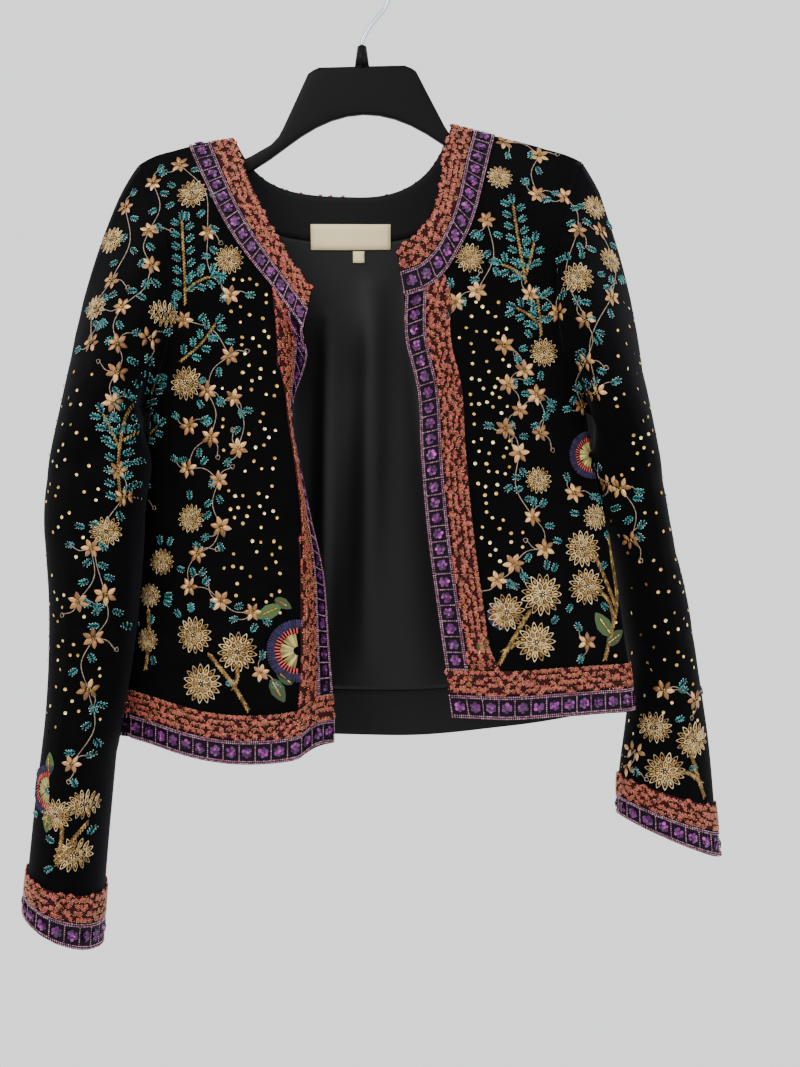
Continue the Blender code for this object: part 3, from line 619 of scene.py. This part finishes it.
def drawn(rows, places):
    """A motif at each place.

    A row is u, v, heading, length, width, height and lift. A place is x, z, turn and size.
    """
    rows, places = np.asarray(rows, float), np.asarray(places, float)
    turn, size = np.radians(places[:, 2:3]), places[:, 3:4]
    x = places[:, :1] + size * (np.cos(turn) * rows[:, 0] - np.sin(turn) * rows[:, 1])
    z = places[:, 1:2] + size * (np.sin(turn) * rows[:, 0] + np.cos(turn) * rows[:, 1])
    heading = np.radians(rows[:, 2]) + turn
    rest = [size * rows[:, k] for k in range(3, 7)]
    return np.stack([x, z, heading] + rest, axis=-1).reshape(-1, 7)


def behind(x, z):
    """The velvet behind a place in the front view: its point and the way it faces, or None for both."""
    return show_side.ray_cast(Vector((x * MM, FRONT, z * MM)), Vector((0, 1, 0)))[:2]


def pressed(table, tilt=0.0):
    """What is drawn in the front view, laid on the velvet behind it. Anything that misses is left out."""
    table = np.asarray(table, float)
    hits = [behind(x, z) for x, z in table[:, :2]]
    kept = [k for k, (at, out) in enumerate(hits) if at is not None and out.y < FACING]
    table = table[kept]
    at, out = (np.array([hits[k][part] for k in kept]) for part in (0, 1))
    at = at + out * table[:, 6:7] * MM
    out = unit(out + rng.normal(0, tilt, out.shape))
    along = np.stack([np.cos(table[:, 2]), 0 * table[:, 2], np.sin(table[:, 2])], axis=-1)
    return at, out, along, table[:, 3:6], rng.uniform(0, 1, len(at))


def rays(angles, radius, length, width, height, lift):
    """Rows for shapes that point outwards, at some angles in degrees round a middle."""
    ways = [(math.cos(a), math.sin(a)) for a in np.radians(angles)]
    return [(radius * c, radius * s, a, length, width, height, lift) for a, (c, s) in zip(angles, ways)]


def around(count, radius, length, width, height, lift, start=0.0):
    """Rows for a whole ring of such shapes."""
    return rays(start + np.arange(count) * 360 / count, radius, length, width, height, lift)


# Rays to the cloth start this far in front, in metres. Cloth that hardly faces the front gets no beads.
FRONT, FACING = -0.4, -0.1
show_side = tree_of(panels[n] for n in ("front_right", "front_left", "sleeve_right", "sleeve_left"))

# Each vine is a run of flowers, from its upper end: x, z
VINES = [
    [(-175, -185), (-174, -230), (-170, -261), (-191, -297), (-193, -328), (-193, -351), (-196, -375)],
    [(-198, -206), (-203, -273), (-216, -326)],
    [(-171, -321)],
    [(-193, -429), (-188, -450), (-201, -528), (-210, -562), (-215, -603), (-228, -662)],
    [(-210, -491), (-220, -533)],
    [(-153, -169), (-125, -233), (-106, -285)],
    [(-145, -304), (-106, -335), (-125, -363), (-122, -401), (-142, -426), (-115, -436), (-113, -474),
     (-133, -496), (-140, -523), (-113, -534), (-87, -543)],
    [(-103, -369), (-99, -410)],
    [(-141, -391)],
    [(-80, -592)],
    [(121, -148), (150, -160), (146, -198)],
    [(103, -223), (95, -282), (78, -291)],
    [(139, -283), (162, -298)],
    [(117, -326), (134, -346), (120, -358), (130, -379), (118, -394), (129, -414), (140, -466), (150, -492),
     (124, -504), (111, -517)],
    [(144, -366), (147, -397)],
    [(176, -446)],
    [(185, -568)],
    [(205, -438)],
    [(170, -198), (179, -229), (182, -307), (183, -340), (184, -373)],
    [(200, -226), (206, -285), (192, -365)],
    [(213, -442), (223, -485)],
    [(251, -609), (278, -618)],
    [(231, -663), (224, -678)],
]
FLOWER = around(6, 4.3, 6.6, 3.2, 1.5, 0.3, 15)
CENTRE = around(5, 1.1, 1.3, 1.3, 1.2, 1.2)
# A leaf's six lobes: u, v and the way each points in degrees
LOBES = [(u, v, math.copysign(32, v)) for u in (-2.4, -0.2, 2.0) for v in (-1.35, 1.35)]
LEAF = [(*lobe, 3.0, 1.45, 1.4, 0.1) for lobe in LOBES] + [(4.0, 0, 0, 2.4, 1.4, 1.4, 0.1)]
LEAF_TIPS = [(u + 1.3, v * 1.75, lean, 1.2, 1.1, 1.0, 0.3) for u, v, lean in LOBES]
CURL = [(1.6, 0, 0, 4.4, 3.8, 0.8, 0.2)]
# A stem's beads: pitch, then length, width, height and lift. A leaf's pitch along a stem and reach from it.
STEM_PITCH, STEM = 1.4, (1.7, 0.65, 0.7, 0.1)
LEAF_GAP, LEAF_REACH = 15.0, 7

flowers, leaves, stems, curls = [], [], [], []


def stem(points):
    """Short beads along a path in the front view."""
    path, heading = smooth_path(points, STEM_PITCH)
    turn = np.arctan2(heading[:, 1], heading[:, 0])
    stems.append(np.concatenate([path, turn[:, None], np.tile(STEM, (len(path), 1))], axis=1))
    return path, turn


def leaf(spot, lean, reach, size):
    """A leaf a little way off a place, pointing away from it."""
    x, z = spot
    leaves.append((x + reach * math.cos(lean), z + reach * math.sin(lean), math.degrees(lean), size))


def sprig(x, z, turn, reach):
    """A short side stem that ends in a leaf or a curl."""
    tip = (x + reach * math.cos(turn), z + reach * math.sin(turn))
    bend = (x + 0.55 * reach * math.cos(turn + 0.35), z + 0.55 * reach * math.sin(turn + 0.35))
    stem([(x, z), bend, tip])
    return tip


for vine in VINES:
    for k, (x, z) in enumerate(vine):
        flowers.append((x, z, rng.uniform(0, 60), rng.uniform(0.98, 1.2)))
        turn = rng.uniform(0, 2 * math.pi)
        tip = sprig(x, z, turn, rng.uniform(13, 17))
        if k % 2:
            curls.append((*tip, math.degrees(turn), 1.0))
        else:
            leaves.append((*tip, math.degrees(turn), rng.uniform(0.85, 1.05)))
        if k + 1 == len(vine):
            turn += 2.2
            leaves.append((*sprig(x, z, turn, 14), math.degrees(turn), 0.95))
            continue
        step = np.subtract(vine[k + 1], (x, z))
        middle = np.add((x, z), 0.5 * step) + (-1) ** k * 0.16 * np.array([-step[1], step[0]])
        path, turn = stem([(x, z), middle, vine[k + 1]])
        for side, n in enumerate(range(7, len(path) - 5, int(LEAF_GAP / STEM_PITCH))):
            leaf(path[n], turn[n] + (-1) ** side * 0.9, LEAF_REACH, 0.92)

# Looped rosettes: x, z, radius
ROSETTES = [
    (-140, -198, 13), (-107, -256, 12), (-208, -235, 12), (-216, -295, 11), (-161, -300, 11),
    (-143, -356, 14), (-200, -478, 12), (-139, -467, 12), (-135, -562, 15), (-99, -575, 16),
    (-128, -601, 16), (-165, -503, 11), (-176, -531, 10), (-178, -568, 10), (-241, -703, 13),
    (-221, -696, 12), (-229, -736, 14), (115, -184, 11), (89, -255, 12), (177, -272, 13), (150, -331, 12),
    (196, -205, 11), (208, -251, 11), (145, -436, 11), (194, -466, 11), (182, -492, 15), (185, -523, 15),
    (147, -529, 17), (118, -543, 15), (142, -567, 16), (245, -641, 13), (276, -651, 15), (253, -677, 16),
]
# The rows are drawn for this radius
ROSETTE_RADIUS = 14
OUTER_LOOPS = around(15, 10.2, 8.4, 3.9, 0.9, 0.2)
INNER_LOOPS = around(10, 5.6, 6.6, 3.4, 0.9, 1.1, 10)
ROSETTE_GOLD = around(15, 9.6, 2.6, 1.5, 1.3, 0.3) + around(10, 5.0, 2.4, 1.4, 1.3, 1.2, 10)
ROSETTE_HEART = around(7, 2.0, 1.6, 1.3, 1.2, 1.6) + [(0, 0, 0, 1.6, 1.6, 1.4, 1.8)]
rosettes = [(x, z, rng.uniform(0, 40), radius / ROSETTE_RADIUS) for x, z, radius in ROSETTES]
trim_points = np.concatenate([points.reshape(-1, 3) for points, out in bands.values()])


def trim_gap(x, z):
    """How far the velvet behind a place is from the trim, in millimetres. Off the velvet it is 0."""
    hit = behind(x, z)[0]
    return 0 if hit is None else np.linalg.norm(trim_points - hit, axis=1).min() / MM


# Up to three leaves stand round each rosette, where there is room for half a leaf
FLOWER_RADIUS, LEAF_HALF, TRIM_MARGIN = 6, 5, 4
for x, z, turn, size in rosettes:
    for way in rng.uniform(0, 2 * math.pi, 3):
        reach = ROSETTE_RADIUS * size + LEAF_REACH
        spot = x + reach * math.cos(way), z + reach * math.sin(way)
        room = [math.dist(spot, other[:2]) - ROSETTE_RADIUS * other[3] for other in rosettes]
        room += [math.dist(spot, other[:2]) - FLOWER_RADIUS for other in flowers]
        if min(*room, trim_gap(*spot) - TRIM_MARGIN) > LEAF_HALF:
            leaf((x, z), way, reach, 0.9)

# Gold cord: fern stems with leaves on both sides, then bare branches, as points from root to tip
FERNS = [
    [(-144, -291), (-145, -257), (-147, -223)], [(-144, -280), (-133, -273), (-123, -270)],
    [(-148, -338), (-132, -326), (-118, -309)], [(-190, -457), (-193, -423), (-183, -374), (-172, -356)],
    [(-193, -410), (-197, -399), (-203, -385)], [(-190, -405), (-180, -397), (-170, -390)],
    [(135, -274), (129, -239), (125, -209)], [(135, -268), (139, -254), (142, -241)],
    [(135, -272), (125, -264), (116, -260)], [(148, -317), (147, -301), (145, -286)],
    [(147, -309), (137, -300), (128, -296)],
]
BRANCHES = [
    [(-90, -622), (-103, -601), (-122, -577)], [(-102, -605), (-99, -595), (-99, -585)],
    [(112, -585), (125, -562), (137, -542)], [(115, -575), (123, -570), (129, -567)],
    [(200, -583), (206, -560), (211, -537), (208, -503), (205, -481)],
    [(210, -539), (202, -519), (193, -498)], [(208, -552), (204, -535), (195, -525)],
    [(287, -700), (279, -678), (274, -662)], [(285, -689), (270, -678), (258, -680)],
    [(-241, -744), (-233, -729), (-219, -711)], [(-241, -739), (-237, -724), (-236, -712)],
    [(-179, -592), (-176, -567), (-177, -543)],
]
# Pitch of the cord's strands in millimetres, then a strand's length in a fern and in a branch
CORD_PITCH, FERN_CORD, BRANCH_CORD = 1.25, 2.5, 3.6
cords = []
for paths, thick in ((FERNS, FERN_CORD), (BRANCHES, BRANCH_CORD)):
    for points in paths:
        path, heading = smooth_path(points, CORD_PITCH)
        turn = np.arctan2(heading[:, 1], heading[:, 0])
        for k, ((x, z), t) in enumerate(zip(path, turn)):
            side = (-1) ** k
            off = side * 0.2 * thick
            cords.append((x - off * math.sin(t), z + off * math.cos(t), t - side * 0.5, thick, 1.3, 1.3, 0.1))
        if paths is FERNS:
            for side, n in enumerate(range(3, len(path), 4)):
                leaf(path[n], turn[n] + (-1) ** side * 0.95, LEAF_REACH, 0.95)
            leaf(path[-1], turn[-1], 5, 1)

# Gilt sequins are warm and a little dull, some darker than others.
gold_petal = tinted("gilt petal sequins", ["#5f3f1e", "#94683a", "#c99c66"], 0.32, Metallic=0.4)
# Cream glass in pale open rounds makes the rosettes stand out from afar.
cream = tinted("cream glass bead loops", ["#8c7049", "#bb9d70", "#e6cfa2"], 0.35, Metallic=0.2)
# Gilt-lined glass gives a darker, yellower gold between the loops.
antique = tinted("antique gold bugle beads", ["#70511f", "#a8803a", "#dcb761"], 0.3, Metallic=0.7)
# Clear teal glass is dark, with a small bright line on each bead.
teal = tinted("teal glass bugle beads", ["#04363a", "#0a5456", "#1a7b79"], 0.28, Metallic=0.15)
# Silver-lined glass makes white dots round the leaves.
silver = tinted("silver lined seed beads", ["#a9bdb4", "#f0f4ee"], 0.25, Metallic=0.3)
# Thread is matt, so the stems are seen only as thin pale lines.
taupe = tinted("taupe thread with fine beads", ["#6f5e50", "#a48f7a"], 0.5)
# The strands of a twisted metal cord shine one after another.
bronze = tinted("bronze twisted cord", ["#46330f", "#735627", "#ab8a4c"], 0.4, Metallic=0.5)
sew("flower_petals", petal_shape(), pressed(drawn(FLOWER, flowers), 0.08), gold_petal)
sew("flower_centres", bead_shape(), pressed(drawn(CENTRE, flowers)), antique)
sew("teal_leaves", bugle_shape(), pressed(drawn(LEAF, leaves), 0.05), teal)
sew("leaf_tips", bead_shape(), pressed(drawn(LEAF_TIPS, leaves)), silver)
sew("vine_stems", bugle_shape(), pressed(np.concatenate(stems)), taupe)
sew("vine_curls", loop_shape(), pressed(drawn(CURL, curls)), taupe)
sew("rosette_loops", loop_shape(), pressed(drawn(OUTER_LOOPS + INNER_LOOPS, rosettes), 0.06), cream)
sew("rosette_gold", bugle_shape(), pressed(drawn(ROSETTE_GOLD, rosettes)), antique)
sew("rosette_hearts", bead_shape(), pressed(drawn(ROSETTE_HEART, rosettes)), cream)
sew("gold_cord", bugle_shape(), pressed(cords), bronze)

# Fan palmettes and green leaves
# Half-round fans are worked in silk thread: a purple fringe, a row of coral stitches and a straw gold heart.
# Leaves of green satin stitch with a gold vein stand beside them. All are stitched through the velvet.
# A place is x, z, the way it opens in degrees, and a radius in millimetres.
FANS = [(-50, -574, 180, 25), (192, -414, 180, 20), (115, -545, 185, 12), (-246, -684, 180, 20)]
GREEN = [
    (-74, -543, 205, 11), (-62, -536, 330, 8), (-61, -595, 140, 9), (-66, -606, 300, 11),
    (199, -554, 125, 12), (209, -565, 35, 10), (98, -572, 255, 12), (-248, -708, 260, 10),
    (-246, -662, 90, 9),
]


def fan(low, high, count, radius, length, width, height):
    """Rows for part of a ring, as shares of a fan's radius."""
    return rays(np.linspace(low, high, count), radius, length, width, height, 0.0)


FRINGE = fan(-98, 98, 40, 0.9, 0.22, 0.075, 0.07) + fan(-96, 96, 34, 0.8, 0.16, 0.08, 0.06)
STITCHES = fan(-88, 88, 21, 0.66, 0.2, 0.055, 0.06)
HEARTS = [row for middle in (-58, 0, 58) for row in fan(middle - 22, middle + 22, 8, 0.35, 0.42, 0.07, 0.06)]
GREEN_LEAF = [(0, 0, 0, 2.0, 0.95, 0.14, 0.02)]
GREEN_VEIN = [(u, 0, 0, 0.3, 0.12, 0.1, 0.12) for u in (-0.6, -0.3, 0, 0.3)]
# Matt silk keeps the fringe nearly black, with a purple cast.
purple = tinted("purple silk thread", ["#0a0418", "#150932", "#231249"], 0.85)
# Coral is the one bright red, seen as a row of short strokes.
coral = tinted("coral silk thread", ["#8e2a2c", "#c4483f"], 0.65)
# Straw silk has a low sheen, so the heart is paler than the fringe but doesn't glint.
straw = tinted("straw gold silk thread", ["#5d5526", "#8f8443", "#bfb26c"], 0.55)
# Satin stitch in dark green is just lighter than the velvet.
green = tinted("green silk thread", ["#1d2c10", "#3a5320"], 0.75)
sew("fan_fringe", bugle_shape(), pressed(drawn(FRINGE, FANS), 0.1), purple)
sew("fan_stitches", bugle_shape(), pressed(drawn(STITCHES, FANS)), coral)
sew("fan_hearts", bugle_shape(), pressed(drawn(HEARTS, FANS), 0.1), straw)
sew("green_leaves", petal_shape(), pressed(drawn(GREEN_LEAF, GREEN)), green)
sew("green_veins", bugle_shape(), pressed(drawn(GREEN_VEIN, GREEN)), antique)

# Gold sequin scatter
# Single cupped sequins of gold foil, each held by one stitch, thin out from the front edges and down the
# outer sleeves. They fill the plain velvet between the flowers.
# A zone is its limits in x and z in millimetres, and a count.
ZONES = [
    (-112, -64, -545, -272, 85), (80, 132, -520, -290, 80), (-256, -206, -640, -345, 75),
    (205, 280, -650, -285, 95),
]
# The least distance in millimetres from a flower or leaf, from another sequin and from the trim
MOTIF_ROOM, SEQUIN_ROOM, TRIM_ROOM = 9, 6, 5
SEQUIN = [(0, 0, 0, 2.8, 2.8, 0.6, 0.2)]
taken = np.array([place[:2] for place in flowers + rosettes + leaves])
dots = []
for left, right, low, high, count in ZONES:
    for x, z in zip(rng.uniform(left, right, 4 * count), rng.uniform(low, high, 4 * count)):
        room = [math.dist((x, z), dot) - SEQUIN_ROOM for dot in dots]
        room.append(np.hypot(*(taken - (x, z)).T).min() - MOTIF_ROOM)
        if count and min(room) > 0 and trim_gap(x, z) > TRIM_ROOM:
            dots.append((x, z))
            count -= 1
places = [(x, z, 0, rng.uniform(0.85, 1.1)) for x, z in dots]
# Polished foil gives single bright points of light on the dark cloth.
gold = tinted("gold foil sequins", ["#a37b36", "#d8b365", "#f7e2a4"], 0.25, Metallic=0.8)
sew("gold_sequins", sequin_shape(), pressed(drawn(SEQUIN, places), 0.15), gold)

# Lining, facings and label
# The back is lined with black satin, sewn between a twill neck facing and a twill hem facing. A cream woven
# label with nothing on it is sewn under the neck facing, with a small size tab below it.
LINING_FOLDS = [(-70, -262, -92, -590, 13, -4), (8, -268, 2, -585, 18, -6), (46, -270, 86, -590, 11, -5),
                (-32, -290, -38, -580, 9, -3), (96, -310, 112, -585, 10, -4)]
# Satin is smooth and closely woven, so its folds show as soft bands of light.
satin = ribbed(new_material("black satin lining", "#08080a", 0.45, Specular_IOR_Level=0.2), 0.9, 0.06, 0.8)
# Twill is matt, so the facings are a flat black beside the lining.
dull = ribbed(new_material("black twill facing", "#0a0a0c", 0.85, Specular_IOR_Level=0.25), 1.0, 0.3, 0.8)
# Damask weave gives the label fine level ribs and no shine.
woven = ribbed(new_material("cream woven label", "#ead9a8", 0.7, Sheen_Weight=0.1), 0.9, 0.5, 0.0)
for node, levels, material, slot, width, length, area in (
    ("back_lining", 3, satin, "lining", 0.42, 0.42, 0.147),
    ("back_neck_facing", 2, dull, "facing", 0.27, 0.09, 0.0111),
    ("hem_facing", 2, dull, "facing", 0.43, 0.045, 0.0184),
    ("label", 1, woven, "label", 0.070, 0.023, 0.0016),
    ("size_tab", 1, woven, "label", 0.010, 0.0101, 0.0001),
):
    piece = fine_copy(f"{node}_cloth", node, levels, material)
    if node == "back_lining":
        pressed_along(piece, LINING_FOLDS)
    settle(piece, node)

# Hanger
# A flat black plastic hanger lies inside the shoulders and carries them. It is moulded in one piece with
# a boss, and the hook, a bent steel wire, is pressed into the boss.
# Moulded plastic has a low, slightly mottled shine.
plastic = new_material("black moulded polystyrene", "#030304", 0.45, Specular_IOR_Level=0.1)
grained(plastic, 1.6, 0.12)
# Drawn wire is bright, with faint marks of the die.
steel = grained(new_material("bright steel wire", "#b9c0c8", 0.2, Metallic=1.0), 0.8, 0.05)
for node, material, slot in (
    ("hanger", plastic, "hanger_plastic"),
    ("hanger_boss", plastic, "hanger_plastic"),
    ("hook", steel, "hook_steel"),
):
    settle(fine_copy(f"{node}_made", node, 1, material), node)

# Light and camera
# Soft daylight comes from a window at the upper left, and a broad fill from the right opens the shadows. The
# camera stands about a metre in front of the jacket, level with the chest.


def area_light(name, spot, target, size, power, color):
    """A round soft light at a spot, turned to a target. Sizes are in metres, power in watts."""
    data = bpy.data.lights.new(name, "AREA")
    data.shape, data.size, data.energy, data.color = "DISK", size, power, linear(color)[:3]
    made = bpy.data.objects.new(name, data)
    made.location = spot
    made.rotation_euler = (Vector(target) - Vector(spot)).to_track_quat("-Z", "Y").to_euler()
    bpy.context.scene.collection.objects.link(made)


CHEST = (0, 0, -0.4)
area_light("window", (-1.2, -1.9, 0.9), CHEST, 1.6, 45, "#fffaf4")
area_light("fill", (1.7, -1.8, -0.1), CHEST, 2.0, 26, "#eef4ff")
world = bpy.data.worlds.new("room")
world.use_nodes = True
walls = world.node_tree.nodes["Background"]
walls.inputs["Color"].default_value = linear("#eeeff0")
walls.inputs["Strength"].default_value = 1.7
bpy.context.scene.world = world
camera = bpy.data.objects.new("camera", bpy.data.cameras.new("camera"))
# Metres from the hook's seat. The place and the angle of view bring the outline on to that of the photo.
camera.location = (0.0323, -1.05, -0.4794)
camera.rotation_euler = (math.radians(90), 0, 0)
camera.data.sensor_fit = "VERTICAL"
camera.data.angle = math.radians(46.7)
bpy.context.scene.collection.objects.link(camera)
bpy.context.scene.camera = camera
